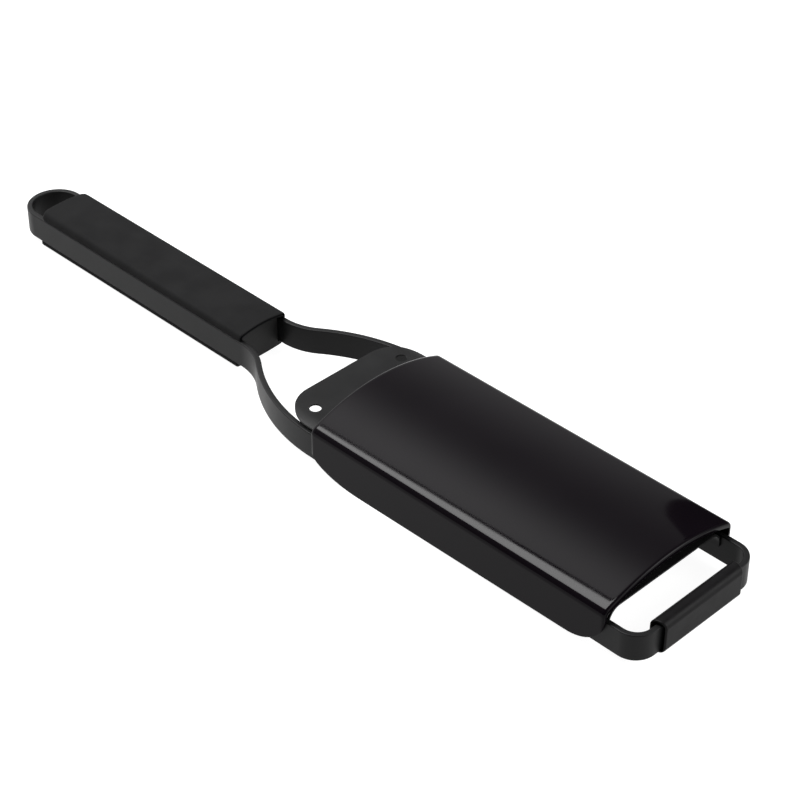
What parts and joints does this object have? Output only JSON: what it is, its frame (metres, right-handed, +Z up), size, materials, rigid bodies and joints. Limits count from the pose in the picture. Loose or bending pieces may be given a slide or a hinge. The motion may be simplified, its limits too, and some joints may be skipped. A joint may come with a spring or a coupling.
{
  "type": "rasp grater",
  "caption": "Hand rasp grater: bent flat-bar frame with hang loop, welded toothed channel blade, padded handle, rubber front foot and an arched pull-off blade guard.",
  "frame": {"origin": "middle of the overall length and width, at the height of the lowest point, the guard's rear lower edge", "axes": "+X from the hang loop along the handle to the front foot, +Y to the left seen from the handle, +Z up out of the blade's teeth"},
  "size_m": [0.3254, 0.0602, 0.0233],
  "materials": {
    "coated_steel": "satin black coating, fine grain",
    "etched_steel": "satin black coating on thin etched sheet",
    "weld_steel": "rough weld bead under black coating",
    "hard_plastic": "matt black moulding",
    "soft_pad": "soft-touch matt black",
    "foot_rubber": "matt black rubber",
    "gloss_plastic": "high gloss black"
  },
  "bodies": {
    "grater": {"frame": "coated_steel", "blade": "etched_steel", "weld_bead_left_1": "weld_steel", "weld_bead_left_2": "weld_steel", "weld_bead_left_3": "weld_steel", "weld_bead_left_4": "weld_steel", "weld_bead_right_1": "weld_steel", "weld_bead_right_2": "weld_steel", "weld_bead_right_3": "weld_steel", "weld_bead_right_4": "weld_steel", "grip_core": "hard_plastic", "grip_top_pad": "soft_pad", "grip_bottom_pad": "soft_pad", "front_foot": "foot_rubber"},
    "cover": {"blade_cover": "gloss_plastic"}
  },
  "joints": [
    {"name": "cover_slide", "type": "slide", "parent": "grater", "child": "cover", "axis": [1, 0, 0], "range_m": [0, 0.15]}
  ]
}
